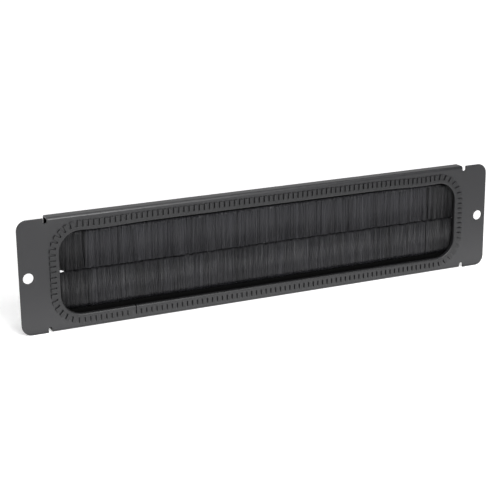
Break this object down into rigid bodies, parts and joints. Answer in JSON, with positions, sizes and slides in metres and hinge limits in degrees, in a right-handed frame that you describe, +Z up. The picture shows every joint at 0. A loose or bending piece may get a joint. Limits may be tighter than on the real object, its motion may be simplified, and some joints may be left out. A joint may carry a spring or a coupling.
{
  "type": "rack brush strip panel",
  "caption": "Folded steel panel with flanges and two ears, its long opening edged with slotted trim and closed by two facing brush strips for cables to pass through.",
  "frame": {"origin": "midway between the two mounting holes, on the plane of the front face", "axes": "+X along the panel to the right as seen from the front, +Y from the front face to the back, +Z up"},
  "size_m": [0.432, 0.0144, 0.094],
  "materials": {
    "powder_coated_steel": "fine textured black powder coat, satin",
    "trim_nylon": "moulded black nylon, satin",
    "bristle_nylon": "fine black nylon filaments",
    "channel_steel": "black painted strip steel",
    "core_wire_steel": "drawn wire",
    "rivet_aluminium": "plain",
    "mandrel_steel": "plain, broken off"
  },
  "bodies": {
    "root": {"panel": "powder_coated_steel", "edge_trim": "trim_nylon", "upper_brush_channel": "channel_steel", "upper_core_wire": "core_wire_steel", "upper_bristles": "bristle_nylon", "lower_brush_channel": "channel_steel", "lower_core_wire": "core_wire_steel", "lower_bristles": "bristle_nylon", "upper_left_rivet": "rivet_aluminium", "upper_left_mandrel": "mandrel_steel", "upper_right_rivet": "rivet_aluminium", "upper_right_mandrel": "mandrel_steel", "lower_left_rivet": "rivet_aluminium", "lower_left_mandrel": "mandrel_steel", "lower_right_rivet": "rivet_aluminium", "lower_right_mandrel": "mandrel_steel"}
  },
  "joints": []
}
